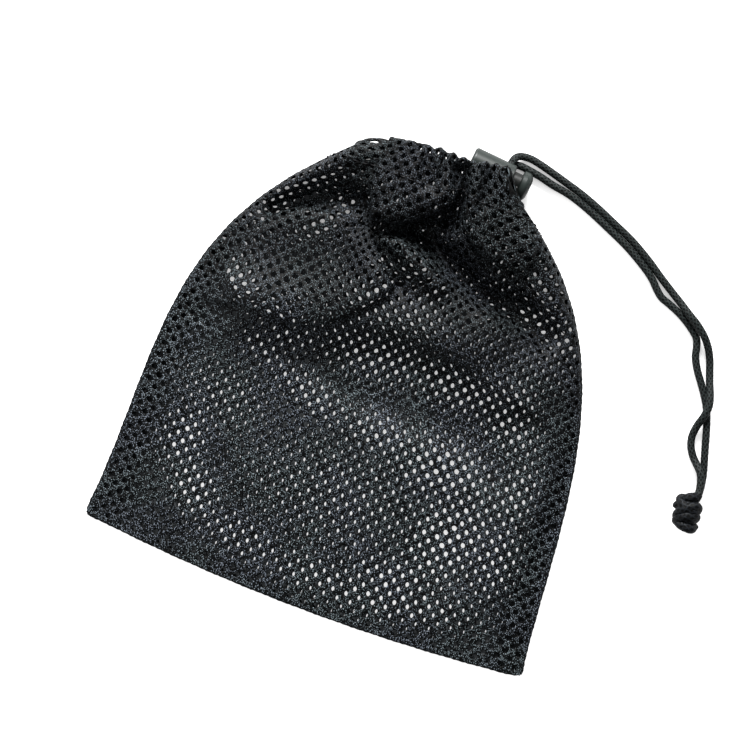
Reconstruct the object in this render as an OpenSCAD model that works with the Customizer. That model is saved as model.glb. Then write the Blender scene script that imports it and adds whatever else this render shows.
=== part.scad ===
// Mesh drawstring ball bag, lying flat and empty with its mouth drawn closed.
// Origin: the middle of the line between the two bottom corners, on the underside.
// +X runs along the bottom seam, +Y towards the mouth, +Z up from the surface it lies on.

/* [Bag] */
// Width along the bottom seam
bag_w = 188; // [180:1:194]
// Thickness of the mesh cloth
cloth_t = 0.9; // [0.7:0.1:1.1]
// Height that the front panel bulges over the middle of the bag
loft = 12; // [10:1:14]
// How far the bottom seam bows outwards at its middle
seam_bow = 6; // [2:1:8]
// Space between the panels at the drawn mouth
mouth_gap = 9.8; // [9.4:0.1:9.9]

/* [Casing] */
// Half width of the gathered casing, across the cord
casing_w = 4.5; // [4:0.1:4.7]
// Half height of the gathered casing
casing_h = 2.6; // [2.5:0.05:2.65]
// Depth of the gathers in the casing, as a share of its size
gather = 0.08; // [0:0.01:0.1]
// Thickness of the sewing thread
thread_d = 0.6; // [0.4:0.1:0.8]

/* [Cord] */
// Diameter of the braided drawcord
cord_d = 3; // [2.8:0.1:3]

/* [Cord lock] */
// Outer diameter of the barrel
barrel_d = 12.5; // [12.2:0.1:12.6]
// Length of the barrel
barrel_l = 18; // [17.8:0.1:18.2]
// Diameter of the plunger's shank
shank_d = 8.9; // [8.7:0.1:9]
// Diameter of the plunger's head
head_d = 12; // [11:0.1:12.4]
// How far the plunger travels when it is pressed
travel = 3; // [2:0.5:3]
// Turns of the spring
spring_turns = 5; // [4:1:5]

/* [Hidden] */

cloth_colour = "#26282a";
cord_colour = "#1d2422";
thread_colour = "#141516";
plastic_colour = "#4c524f";
steel_colour = "#b8bcc0";

// Sides of the flat bag, as Bezier control points from the bottom corner to the mouth
left_side = [[-bag_w / 2, 0], [7 - bag_w / 2, 63], [-14 - bag_w / 2, 119], [-48.5, 163.5]];
right_side = [[bag_w / 2, 0], [bag_w / 2 - 8, 57], [bag_w / 2, 134], [31, 164.5]];
mouth_arch = 12;
dome_power = 0.7;
cells_across = 22;
cells_along = 18;

// Route of the cord through the casing: round the front, then round the back of the mouth
front_route = [
    [11.5, 171.6, 13.2], [4, 174, 13.2], [-4, 177, 13.2], [-14, 178.6, 13.2],
    [-25, 177.6, 13.1], [-35, 173.8, 12], [-42.6, 168.9, 10.2], [-46.6, 166.2, 8.2], [-47.5, 165.6, 6.6]
];
back_route = [
    [-47.5, 165.6, 6.6], [-46.4, 166.2, 4.8], [-42.5, 167.6, 3.2], [-35, 170.6, 2.9], [-22, 174, 2.9],
    [-8, 175, 2.9], [6, 173, 2.9], [16, 170.5, 2.9], [24.6, 168.2, 3.2], [28.6, 167.3, 4.9], [29.6, 167.1, 6.8]
];
corner_route = [
    [29.6, 167.1, 6.8], [28.8, 167.5, 8.8], [26.6, 168.4, 11], [23.2, 169.6, 12.7], [18.8, 170.8, 13.2]
];
route_steps = 5;
bore_d = cord_d + 0.5;
gather_pitch = 9;

// Cords between the casing and the cord lock's far side, through its window
lead_a = [
    [11.5, 171.6, 13.2], [13, 172, 14.1], [14.6, 173.6, 14.4], [15.6, 175.6, 12.8],
    [16.1, 178, 10.2], [16.7, 184.2, 7.9], [17.2, 190.3, 5.6]
];
lead_b = [
    [18.8, 170.8, 13.2], [17.4, 171.2, 12.5], [16.3, 172.6, 10.9], [15.9, 174.6, 8.7],
    [16, 176.9, 7.2], [16.6, 183.1, 4.9], [17.1, 188.6, 2.9]
];

// Free strands, from the cord lock to the knot
strand_a = [
    [17.2, 190.3, 5.6], [17.7, 192.3, 4.3], [19, 193.9, 2.9], [21.4, 194.7, 2], [24.6, 194.8, 1.6],
    [28.4, 194.1, 1.6], [34, 192.7, 1.6], [41, 190.8, 1.6], [48, 188.8, 1.6], [55.6, 186.1, 1.6],
    [65, 182.2, 1.6], [73.9, 178.3, 1.6], [82.6, 173.4, 1.6], [89.6, 168.8, 1.6], [96, 164.8, 1.6],
    [100.8, 161.8, 2.4], [105.2, 158.8, 3.8], [109.6, 156.1, 4.3], [114, 152.6, 4], [117.4, 148.8, 2.6],
    [119.8, 144.6, 1.6], [121.5, 140, 1.6], [123.1, 135.4, 2.5], [124.7, 131, 4.1], [125.6, 126.8, 4.8],
    [125.2, 122.6, 4.5], [124.2, 118.2, 2.8], [123.9, 113.6, 1.6], [124.9, 109.6, 1.6],
    [127, 106.2, 1.7], [129.2, 103.8, 2.6], [131.6, 101, 4.4], [133, 98, 4.9], [133.7, 94.8, 5.4],
    [134, 91.6, 6.4]
];
strand_b = [
    [17.1, 188.6, 2.9], [17.7, 189.7, 2.3], [18.9, 190.4, 1.9], [21.4, 190.7, 1.6], [25, 190.3, 1.6],
    [30, 189.5, 1.6], [36, 188.1, 1.6], [42, 186.7, 1.6], [48, 185.2, 1.6], [54.4, 183, 1.6],
    [63.8, 179.1, 1.6], [72.5, 175, 1.6], [80.8, 170.3, 1.6], [85.6, 166.4, 1.6], [89.4, 162.6, 1.6],
    [92.6, 160.5, 1.6], [96.4, 159.6, 1.6], [100.4, 158.4, 1.6], [104.4, 156.4, 1.6], [108.4, 153.8, 1.6],
    [111.6, 151, 1.6], [113, 147.6, 1.6], [114, 143.6, 1.6], [116.6, 139, 1.6], [119.4, 135.2, 1.6],
    [122.4, 131, 1.6], [125.2, 126.4, 1.6], [127.4, 121, 1.6], [129.2, 115.4, 1.6], [130.8, 110, 1.6],
    [132.4, 104.8, 1.6], [133.6, 100.6, 1.6], [134.2, 97.4, 1.6], [134.5, 94.4, 2.1], [134.4, 91.4, 3.3]
];

knot_centre = [132.4, 84.2, 5];
knot_turn = -14;
knot_l = 15;
knot_d = 10;

// The cord lock lies on its side, with its axis along X, a little turned
lock_at = [1.5, 185, 6.4];
lock_turn = -5;
window_tilt = 20;
window_at = 15.2;
window_l = cord_d + 0.8;
window_w = 2 * cord_d + 0.8;
shank_bore_d = shank_d + 0.1;
collar_d = 9.76;
chamber_d = 9.9;
chamber_end = 11;
floor_t = 1.5;
eye_start = 13.3;
shank_start = 8.1;
collar_l = 2.8;
head_at = barrel_l + travel + 0.4;
head_l = 4.6;
wire_d = 0.5;
spring_r = 3.2;

function unit(v) = v / norm(v);

function bezier(p, t) =
    pow(1 - t, 3) * p[0] + 3 * pow(1 - t, 2) * t * p[1] + 3 * (1 - t) * t * t * p[2] + pow(t, 3) * p[3];

// A point of the bag's flat outline plane: u from left to right, v from the bottom to the mouth
function panel_point(u, v) =
    let (across = (1 - u) * bezier(left_side, v) + u * bezier(right_side, v), middle = 4 * u * (1 - u))
    across + [0, middle * (mouth_arch * pow(v, 4) - seam_bow * pow(1 - v, 4))];

// Height of the front panel's underside over the back panel, fuller at the sides towards the mouth
function panel_rise(u, v) =
    pow(4 * u * (1 - u), dome_power * (1 - v / 2)) * (loft * 4 * v * (1 - v) + mouth_gap * v * v);

// A smooth line through the given points, with more points between them
function smooth(p, steps) =
    let (last = len(p) - 1)
    concat([
        for (i = [0:last - 1], k = [0:steps - 1])
            let (
                t = k / steps,
                a = p[max(i - 1, 0)],
                b = p[i],
                c = p[i + 1],
                d = p[min(i + 2, last)]
            )
            0.5 * (2 * b + (c - a) * t + (2 * a - 5 * b + 4 * c - d) * t * t + (3 * b - a - 3 * c + d) * t * t * t)
    ], [p[last]]);

// Direction of a line at each of its points
function headings(p) =
    [for (i = [0:len(p) - 1]) unit(p[min(i + 1, len(p) - 1)] - p[max(i - 1, 0)])];

// A sideways direction carried along the line without twist
function carried(along, i, side) =
    i == len(along) ? [] : let (s = unit(side - (side * along[i]) * along[i])) concat([s], carried(along, i + 1, s));

function sides_of(along) = carried(along, 0, cross(along[0], [0, 0, 1]));

// Distance walked along a line up to each of its points
function walked(p, i = 0, so_far = 0) =
    i == len(p) ? [] : concat([so_far], walked(p, i + 1, so_far + (i < len(p) - 1 ? norm(p[i + 1] - p[i]) : 0)));

function ring(centre, side, up, w, h, corners) =
    [for (k = [0:corners - 1]) centre + side * w * cos(360 * k / corners) + up * h * sin(360 * k / corners)];

// Quads, as triangles, between ring i and ring i + 1 of a stack of rings
function wall_faces(rings, corners, first = 0) = [
    for (i = [0:rings - 2], k = [0:corners - 1])
        let (
            a = first + i * corners + k,
            b = first + i * corners + (k + 1) % corners
        )
        each [[a, b, b + corners], [a, b + corners, a + corners]]
];

// A round cord along a line of points
module cord(line, d, corners) {
    along = headings(line);
    side = sides_of(along);
    rings = len(line);
    points = [
        for (i = [0:rings - 1])
            each ring(line[i], side[i], cross(along[i], side[i]), d / 2, d / 2, corners)
    ];
    polyhedron(points, concat(
        [[for (k = [corners - 1:-1:0]) k]],
        wall_faces(rings, corners),
        [[for (k = [0:corners - 1]) (rings - 1) * corners + k]]
    ));
}

// A straight round rod between two points
module rod(from, to, d) {
    run = to - from;
    translate(from)
        rotate([0, acos(run[2] / norm(run)), atan2(run[1], run[0])])
            cylinder(d = d, h = norm(run), $fn = 32);
}

// A gathered cloth channel along a line, with a round bore for the cord
module channel(line, corners = 14) {
    along = headings(line);
    side = sides_of(along);
    walk = walked(line);
    rings = len(line);
    skin = rings * corners;
    outer = [
        for (i = [0:rings - 1])
            let (size = 1 + gather * sin(360 * walk[i] / gather_pitch))
            each ring(line[i], side[i], cross(along[i], side[i]), casing_w * size, casing_h * size, corners)
    ];
    inner = [
        for (i = [0:rings - 1])
            each ring(line[i], side[i], cross(along[i], side[i]), bore_d / 2, bore_d / 2, corners)
    ];
    lining = [for (f = wall_faces(rings, corners, skin)) [f[2], f[1], f[0]]];
    start = [
        for (k = [0:corners - 1])
            let (n = (k + 1) % corners)
            each [[k, skin + k, skin + n], [k, skin + n, n]]
    ];
    end = [
        for (k = [0:corners - 1])
            let (a = (rings - 1) * corners + k, b = (rings - 1) * corners + (k + 1) % corners)
            each [[a, b, skin + b], [a, skin + b, skin + a]]
    ];
    polyhedron(concat(outer, inner), concat(wall_faces(rings, corners), lining, start, end));
}

module front_panel() {
    across = cells_across + 1;
    layer = across * (cells_along + 1);
    under = [
        for (j = [0:cells_along], i = [0:cells_across])
            let (u = i / cells_across, v = j / cells_along, p = panel_point(u, v))
            [p[0], p[1], cloth_t + panel_rise(u, v)]
    ];
    over = [for (p = under) p + [0, 0, cloth_t]];
    cells = [for (j = [0:cells_along - 1], i = [0:cells_across - 1]) j * across + i];
    bottom = [for (a = cells) each [[a, a + 1, a + across + 1], [a, a + across + 1, a + across]]];
    top = [for (f = bottom) [f[2] + layer, f[1] + layer, f[0] + layer]];
    edge = concat(
        [for (i = [0:cells_across - 1]) i],
        [for (j = [0:cells_along - 1]) cells_across + j * across],
        [for (i = [cells_across:-1:1]) cells_along * across + i],
        [for (j = [cells_along:-1:1]) j * across]
    );
    rim = [
        for (k = [0:len(edge) - 1])
            let (a = edge[k], b = edge[(k + 1) % len(edge)])
            each [[b, a, a + layer], [b, a + layer, b + layer]]
    ];
    color(cloth_colour) polyhedron(concat(under, over), concat(bottom, top, rim));
}

module back_panel() {
    steps = 24;
    outline = concat(
        [for (i = [0:steps - 1]) panel_point(i / steps, 0)],
        [for (i = [0:steps - 1]) panel_point(1, i / steps)],
        [for (i = [0:steps - 1]) panel_point(1 - i / steps, 1)],
        [for (i = [0:steps - 1]) panel_point(0, 1 - i / steps)]
    );
    color(cloth_colour) linear_extrude(cloth_t) polygon(outline);
}

module front_casing() {
    color(cloth_colour) {
        channel(smooth(front_route, route_steps));
        channel(smooth(corner_route, route_steps));
    }
}

module back_casing() {
    color(cloth_colour) channel(smooth(back_route, route_steps));
}

// Thread over a seam's raw edges, as a zigzag between two distances from the edge
module seam_thread(edge, inward, stitches) {
    near = 4;
    far = 7;
    line = [
        for (i = [0:stitches])
            let (p = edge[i], in = inward * (i % 2 == 0 ? near : far))
            [p[0] + in[0], p[1] + in[1], cloth_t + thread_d * 0.4]
    ];
    color(thread_colour) cord(line, thread_d, 6);
}

module bottom_seam_thread() {
    stitches = 84;
    edge = [for (i = [0:stitches]) panel_point(0.04 + 0.92 * i / stitches, 0)];
    seam_thread(edge, [0, 1], stitches);
}

module left_seam_thread() {
    stitches = 80;
    edge = [for (i = [0:stitches]) panel_point(0, 0.05 + 0.87 * i / stitches)];
    seam_thread(edge, [1, 0], stitches);
}

module right_seam_thread() {
    stitches = 80;
    edge = [for (i = [0:stitches]) panel_point(1, 0.05 + 0.87 * i / stitches)];
    seam_thread(edge, [-1, 0], stitches);
}

// Running stitches that close a casing, along the casing's lower edge
module casing_thread(on_front) {
    stitches = 20;
    start = 0.12;
    span = 0.76;
    row = 0.96;
    lift = on_front ? 2 * cloth_t : cloth_t;
    color(thread_colour) for (i = [0:stitches - 1]) {
        ends = [
            for (u = [start + span * i / stitches, start + span * (i + 0.6) / stitches])
                let (p = panel_point(u, row), rise = on_front ? panel_rise(u, row) : 0)
                [p[0], p[1], lift + rise + thread_d * 0.3]
        ];
        rod(ends[0], ends[1], thread_d);
    }
}

module front_casing_thread() {
    casing_thread(true);
}

module back_casing_thread() {
    casing_thread(false);
}

// Dense stitching on both sides of the gap in the casing where the cord comes out
module exit_bartacks() {
    tack_l = 1;
    color(thread_colour)
        for (end = [[front_route[0], -1.2], [corner_route[len(corner_route) - 1], 1.2]], k = [-3:3])
            translate(end[0] + [end[1], 0.9 * k, casing_h - 0.2 - 0.05 * k * k])
                rotate([0, 90, 0])
                    cylinder(d = thread_d, h = tack_l, center = true, $fn = 16);
}

module drawcord_loop() {
    whole = concat(
        smooth(front_route, 2),
        [for (i = [1:2 * (len(back_route) - 1)]) smooth(back_route, 2)[i]],
        [for (i = [1:2 * (len(corner_route) - 1)]) smooth(corner_route, 2)[i]]
    );
    color(cord_colour) cord(whole, cord_d, 8);
}

module drawcord_leads() {
    color(cord_colour) {
        cord(smooth(lead_a, 2), cord_d, 8);
        cord(smooth(lead_b, 2), cord_d, 8);
    }
}

module cord_strand_a() {
    color(cord_colour) cord(smooth(strand_a, 2), cord_d, 8);
}

module cord_strand_b() {
    color(cord_colour) cord(smooth(strand_b, 2), cord_d, 8);
}

// Outer shape of the overhand knot tied in both cords together
module cord_knot() {
    waist = knot_d * 0.36;
    profile = concat(
        [[0, 0]],
        [for (a = [-60:15:60]) [waist + (knot_d / 2 - waist) * cos(a * 1.5), knot_l / 2 + knot_l / 2 * sin(a * 1.5)]],
        [[0, knot_l]]
    );
    color(cord_colour)
        translate(knot_centre)
            rotate([90, 0, knot_turn])
                translate([0, 0, -knot_l / 2])
                    rotate_extrude($fn = 48) polygon(profile);
}

module cord_tails() {
    color(cord_colour) {
        rod([129.6, 84.9, 4.4], [126.2, 85.7, 3.6], cord_d);
        rod([134.8, 80.9, 4.4], [138.2, 79.3, 3.6], cord_d);
    }
}

// Places a piece of the cord lock, drawn with its axis up and its window along Y
module on_lock_axis() {
    translate(lock_at) rotate([0, 90, lock_turn]) rotate([0, 0, -window_tilt]) children();
}

module lock_barrel() {
    r = barrel_d / 2;
    edge_r = 1.2;
    outer = concat(
        [[0, 0]],
        [for (a = [0:15:90]) [r - edge_r + edge_r * sin(a), edge_r - edge_r * cos(a)]],
        [[r, barrel_l - 0.4], [r - 0.4, barrel_l], [0, barrel_l]]
    );
    slot = window_w - window_l;
    color(plastic_colour)
        on_lock_axis()
            difference() {
                rotate_extrude($fn = 96) polygon(outer);
                translate([0, 0, floor_t]) cylinder(d = chamber_d, h = chamber_end - floor_t, $fn = 96);
                translate([0, 0, chamber_end - 1]) cylinder(d = shank_bore_d, h = barrel_l, $fn = 96);
                translate([0, 0, window_at]) {
                    cube([slot, 2 * barrel_d, window_l], center = true);
                    for (side = [-1, 1])
                        translate([side * slot / 2, 0, 0])
                            rotate([90, 0, 0])
                                cylinder(d = window_l, h = 2 * barrel_d, center = true, $fn = 48);
                }
            }
}

module lock_plunger() {
    r = head_d / 2;
    root_r = 0.6;
    head = concat(
        [[0, head_at], [r - root_r, head_at], [r, head_at + root_r]],
        [for (a = [0:15:90]) [r * 0.45 + r * 0.55 * cos(a), head_at + head_l - 2.4 + 2.4 * sin(a)]],
        [[0, head_at + head_l]]
    );
    color(plastic_colour)
        on_lock_axis()
            difference() {
                union() {
                    translate([0, 0, shank_start]) cylinder(d = collar_d, h = collar_l, $fn = 96);
                    translate([0, 0, shank_start]) cylinder(d = shank_d, h = head_at - shank_start + 0.5, $fn = 96);
                    rotate_extrude($fn = 96) polygon(head);
                }
                translate([-window_w / 2, -barrel_d, eye_start])
                    cube([window_w, 2 * barrel_d, head_at - eye_start]);
            }
}

module lock_spring() {
    per_turn = 12;
    rings = spring_turns * per_turn;
    rise = shank_start - floor_t - wire_d - 0.1;
    line = [
        for (i = [0:rings])
            [
                spring_r * cos(360 * i / per_turn),
                spring_r * sin(360 * i / per_turn),
                floor_t + wire_d / 2 + 0.05 + rise * i / rings
            ]
    ];
    color(steel_colour) on_lock_axis() cord(line, wire_d, 6);
}

front_panel();
back_panel();
front_casing();
back_casing();
bottom_seam_thread();
left_seam_thread();
right_seam_thread();
front_casing_thread();
back_casing_thread();
exit_bartacks();
drawcord_loop();
drawcord_leads();
cord_strand_a();
cord_strand_b();
cord_knot();
cord_tails();
lock_barrel();
lock_plunger();
lock_spring();
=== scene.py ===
"""A black mesh ball bag lying flat on white, its mouth drawn closed, seen from above."""
import math

import bpy
import numpy as np
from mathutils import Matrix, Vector


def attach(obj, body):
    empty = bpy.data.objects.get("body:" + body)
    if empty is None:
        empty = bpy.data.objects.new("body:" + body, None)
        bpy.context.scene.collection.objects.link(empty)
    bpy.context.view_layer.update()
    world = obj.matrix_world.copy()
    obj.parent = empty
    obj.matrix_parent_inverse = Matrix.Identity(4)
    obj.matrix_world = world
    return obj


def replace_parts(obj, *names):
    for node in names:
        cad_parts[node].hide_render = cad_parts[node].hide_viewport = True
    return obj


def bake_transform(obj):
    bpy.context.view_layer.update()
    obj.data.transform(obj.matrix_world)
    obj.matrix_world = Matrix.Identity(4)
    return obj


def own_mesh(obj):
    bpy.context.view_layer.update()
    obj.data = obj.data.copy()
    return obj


MM = 0.001
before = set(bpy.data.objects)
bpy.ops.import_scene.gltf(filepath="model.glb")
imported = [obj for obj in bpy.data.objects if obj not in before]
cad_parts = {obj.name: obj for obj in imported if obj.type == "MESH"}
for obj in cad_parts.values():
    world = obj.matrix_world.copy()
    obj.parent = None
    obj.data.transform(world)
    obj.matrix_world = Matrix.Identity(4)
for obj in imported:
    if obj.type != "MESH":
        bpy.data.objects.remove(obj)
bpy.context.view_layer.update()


# ---------------------------------------------------------------- materials


# Braid of the cord: pairs of yarns round it, and radians they turn for each mm along it
BRAID_YARNS, BRAID_TWIST = 3, 1.35
# Heights on the flat cloth, in mm, over which the gathers crowd the yarns: painted shade of the gathers
GATHER_SHADE_HEIGHTS = (85, 140)
# Where the painted light coming through the back cloth from below fades, across from its middle line and up
# from the bottom seam
OPEN_ACROSS, OPEN_UP = (70, 84), (60, 120)
# Cord lock's colour, the painted shade's colour in the slot behind the plunger's head, and where along X, in
# m, that painted shade starts and ends
PLASTIC_TONE, SLOT_PAINTED_SHADE = (0.016, 0.022, 0.020), (0.0025, 0.0035, 0.003)
SLOT_START, SLOT_END = (0.0197, 0.0192), (0.0228, 0.0240)


def material(name, colour, roughness, **sockets):
    """A principled material with its node tree and shader."""
    m = bpy.data.materials.new(name)
    m.use_nodes = True
    shader = m.node_tree.nodes["Principled BSDF"]
    shader.inputs["Base Color"].default_value = (*colour, 1)
    shader.inputs["Roughness"].default_value = roughness
    for socket, value in sockets.items():
        shader.inputs[socket.replace("_", " ")].default_value = value
    return m, m.node_tree, shader


def node(tree, kind, **settings):
    """A node with its inputs, or its own properties, set by name."""
    made = tree.nodes.new(kind)
    for key, value in settings.items():
        if key in made.inputs:
            made.inputs[key].default_value = value
        else:
            setattr(made, key, value)
    return made


def feed(tree, given, socket):
    """Sets an input to a number, or links it to an output."""
    if isinstance(given, (int, float)):
        socket.default_value = given
    else:
        tree.links.new(given, socket)


def maths(tree, operation, *operands):
    made = node(tree, "ShaderNodeMath", operation=operation)
    for k, operand in enumerate(operands):
        feed(tree, operand, made.inputs[k])
    return made.outputs[0]


def remap(tree, value, first, last, start=0.0, end=1.0, kind="LINEAR"):
    """Carries value from the range first to last over to the range start to end."""
    made = node(tree, "ShaderNodeMapRange", interpolation_type=kind)
    for socket, given in (("From Min", first), ("From Max", last), ("To Min", start), ("To Max", end)):
        feed(tree, given, made.inputs[socket])
    tree.links.new(value, made.inputs["Value"])
    return made.outputs["Result"]


def parts_of(tree, vector):
    """The X, Y and Z of a vector."""
    made = node(tree, "ShaderNodeSeparateXYZ")
    tree.links.new(vector, made.inputs["Vector"])
    return tuple(made.outputs)


def ramp(tree, factor, stops):
    """A colour ramp from (position, grey or colour) stops."""
    made = tree.nodes.new("ShaderNodeValToRGB")
    points = made.color_ramp.elements
    while len(points) < len(stops):
        points.new(0.5)
    for point, (place, colour) in zip(points, stops):
        point.position = place
        point.color = (*colour, 1) if isinstance(colour, tuple) else (colour, colour, colour, 1)
    tree.links.new(factor, made.inputs["Fac"])
    return made.outputs["Color"]


def multiplied(tree, one, other):
    """Two colours multiplied."""
    made = node(tree, "ShaderNodeMix", data_type="RGBA", blend_type="MULTIPLY")
    made.inputs["Factor"].default_value = 1
    tree.links.new(one, made.inputs[6])
    tree.links.new(other, made.inputs[7])
    return made.outputs[2]


def flat_place(tree):
    """Place on the flat cloth in mm, or along a cord in mm and round it in radians."""
    return node(tree, "ShaderNodeUVMap", uv_map="flat").outputs["UV"]


def object_place(tree):
    return node(tree, "ShaderNodeTexCoord").outputs["Object"]


def noise(tree, place, scale, **settings):
    made = node(tree, "ShaderNodeTexNoise", Scale=scale, **settings)
    tree.links.new(place, made.inputs["Vector"])
    return made.outputs["Fac"]


def raise_surface(tree, shader, height, strength, distance):
    """Bump on a shader from a height between 0 and 1."""
    bump = node(tree, "ShaderNodeBump", Strength=strength, Distance=distance)
    tree.links.new(height, bump.inputs["Height"])
    tree.links.new(bump.outputs["Normal"], shader.inputs["Normal"])


def yarn_cloth(name, dark, light, coordinates="UV"):
    """Warp-knit polyester: fine loops of yarn with a broken shine, its bright specks a painted glint in the
    colour, and a faint drift of green and blue.

    On the flat cloth's coordinates it darkens towards the mouth, where the gathers crowd the yarns: painted
    shade.
    """
    m, tree, shader = material(name, dark, 0.5, Specular_IOR_Level=0.12)
    link = tree.links.new
    if coordinates == "UV":
        flat = flat_place(tree)
    else:
        enlarge = node(tree, "ShaderNodeVectorMath", operation="SCALE")
        link(object_place(tree), enlarge.inputs["Vector"])
        enlarge.inputs["Scale"].default_value = 1 / MM
        flat = enlarge.outputs["Vector"]
    stretch = node(tree, "ShaderNodeMapping")
    stretch.inputs["Scale"].default_value = (1, 0.7, 1)
    stretch.inputs["Rotation"].default_value = (0, 0, math.radians(28))
    link(flat, stretch.inputs["Vector"])
    loops = node(tree, "ShaderNodeTexVoronoi", Scale=2.2, Randomness=0.9)
    link(stretch.outputs["Vector"], loops.inputs["Vector"])
    yarn = noise(tree, stretch.outputs["Vector"], 3.0, Detail=1.5, Roughness=0.6)
    knit = maths(tree, "SUBTRACT", yarn, loops.outputs["Distance"])
    drift = noise(tree, flat, 0.035, Detail=1.0)
    tint_and_gather_shade = ramp(tree, drift, [(0.42, (0.87, 1.0, 1.03)), (0.58, (0.89, 0.96, 1.1))])
    if coordinates == "UV":
        _, height, _ = parts_of(tree, flat)
        # Painted shade: the colour darkens towards the mouth, where the gathered yarns shade one another
        tint_and_gather_shade = multiplied(tree, tint_and_gather_shade, remap(tree, height, *GATHER_SHADE_HEIGHTS, 1, 0.45, kind="SMOOTHSTEP"))
    between = tuple(0.8 * d + 0.2 * l for d, l in zip(dark, light))
    # Knit grain: the light end of this ramp is a painted glint, the broken shine of the yarns
    shade = ramp(tree, knit, [(0.08, dark), (0.18, between), (0.31, light)])
    link(multiplied(tree, shade, tint_and_gather_shade), shader.inputs["Base Color"])
    raise_surface(tree, shader, knit, 0.7, 0.0002)
    return m


def inner_cloth(name, dark, light):
    """The inner side of the back cloth: smoother, painted lighter than the outer side, and lighter still
    where the cloth lies open: painted light coming through from below.
    """
    m, tree, shader = material(name, dark, 0.7, Specular_IOR_Level=0.1)
    across, height, _ = parts_of(tree, flat_place(tree))
    side = remap(tree, maths(tree, "ABSOLUTE", across), *OPEN_ACROSS, 1, 0, kind="SMOOTHSTEP")
    low = remap(tree, height, *OPEN_UP, 1, 0, kind="SMOOTHSTEP")
    # Painted light: the colour runs from dark to light where light from below would come through
    lit = ramp(tree, maths(tree, "MULTIPLY", side, low), [(0, dark), (1, light)])
    tree.links.new(lit, shader.inputs["Base Color"])
    return m


def cord_cloth(name, dark, light):
    """A braid: two sets of yarns winding opposite ways, painted lighter on their crests and darker in the
    grooves between: painted highlight and shade.
    """
    m, tree, shader = material(name, dark, 0.55, Specular_IOR_Level=0.15)
    along, angle, _ = parts_of(tree, flat_place(tree))
    around = maths(tree, "MULTIPLY", angle, BRAID_YARNS)
    crests = [
        maths(tree, "ABSOLUTE", maths(tree, "COSINE", maths(tree, "MULTIPLY_ADD", along, twist, around)))
        for twist in (BRAID_TWIST, -BRAID_TWIST)
    ]
    yarns = maths(tree, "MAXIMUM", *crests)
    # Painted highlight on the yarns' crests and painted shade in the grooves between them
    shade = ramp(tree, yarns, [(0.72, dark), (0.96, light)])
    grain = noise(tree, object_place(tree), 2400.0, Detail=1.0)
    uneven = multiplied(tree, shade, ramp(tree, grain, [(0.3, 0.3), (0.7, 1.5)]))
    tree.links.new(uneven, shader.inputs["Base Color"])
    raise_surface(tree, shader, yarns, 0.6, 0.0002)
    return m


def satin_plastic():
    """Satin moulded plastic, with painted shade darkening it in the slot behind the plunger's head."""
    m, tree, shader = material("satin_plastic", PLASTIC_TONE, 0.4, Specular_IOR_Level=0.35)
    place = object_place(tree)
    raise_surface(tree, shader, noise(tree, place, 900.0, Detail=3.0), 0.08, 0.0001)
    along, _, _ = parts_of(tree, place)
    # Painted shade: dark colour in the slot between the barrel's end and the plunger's head
    outside_slot_shade = maths(
        tree, "MAXIMUM",
        remap(tree, along, *SLOT_START, kind="SMOOTHSTEP"),
        remap(tree, along, *SLOT_END, kind="SMOOTHSTEP"),
    )
    tree.links.new(ramp(tree, outside_slot_shade, [(0, SLOT_PAINTED_SHADE), (1, PLASTIC_TONE)]), shader.inputs["Base Color"])
    return m


def grained(name, dark, light, roughness, scale, **sockets):
    """A material whose colour and surface vary in a fine grain, with scale grains to the metre."""
    m, tree, shader = material(name, dark, roughness, **sockets)
    grain = noise(tree, object_place(tree), scale, Detail=2.0)
    tree.links.new(ramp(tree, grain, [(0.35, dark), (0.65, light)]), shader.inputs["Base Color"])
    raise_surface(tree, shader, grain, 0.4, 0.0001)
    return m


CLOTH = yarn_cloth("mesh_cloth", (0.0006, 0.0008, 0.001), (0.29, 0.31, 0.325))
SEAM = yarn_cloth("seam_cloth", (0.0015, 0.0016, 0.0018), (0.07, 0.075, 0.08), "Object")
INNER = inner_cloth("inner_cloth", (0.02, 0.022, 0.024), (0.17, 0.185, 0.195))
CORD = cord_cloth("braided_cord", (0.0004, 0.0005, 0.0005), (0.022, 0.028, 0.0275))
# The knot's and tails' cord: the braided cord painted darker, a painted shade of the tight knot
SHADED_CORD = cord_cloth("cord_in_painted_shade", (0.0002, 0.0003, 0.0003), (0.010, 0.012, 0.015))
PLASTIC = satin_plastic()
LOOP = grained(
    "casing_cord", (0.001, 0.0014, 0.0014), (0.012, 0.014, 0.014), 0.6, 1300.0, Specular_IOR_Level=0.15
)
THREAD = grained("thread", (0.003, 0.003, 0.0035), (0.014, 0.014, 0.016), 0.5, 3500.0, Specular_IOR_Level=0.3)
STEEL = grained("spring_steel", (0.52, 0.52, 0.50), (0.66, 0.66, 0.64), 0.3, 2500.0, Metallic=1.0)


# ---------------------------------------------------------------- meshes and lines

# Cord: radius, and distance between the rings of its surface, in mm
CORD_R, CORD_STEP = 1.5, 0.4


def mesh(name, points, faces, look, body, flat):
    """A mesh object from points in mm, with its flat places as its UV map. body may be None."""
    data = bpy.data.meshes.new(name)
    data.from_pydata((np.asarray(points) * MM).tolist(), [], faces)
    data.materials.append(look)
    data.polygons.foreach_set("use_smooth", [True] * len(data.polygons))
    layer = data.uv_layers.new(name="flat")
    order = np.empty(len(data.loops), dtype=np.int32)
    data.loops.foreach_get("vertex_index", order)
    layer.data.foreach_set("uv", np.asarray(flat, dtype=np.float32)[order].ravel())
    data.validate()
    o = bpy.data.objects.new(name, data)
    bpy.context.scene.collection.objects.link(o)
    if body:
        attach(o, body)
    return o


def walked_along(line):
    """Distance from the start of a line to each of its points."""
    return np.concatenate([[0], np.cumsum(np.linalg.norm(np.diff(line, axis=0), axis=1))])


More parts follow.
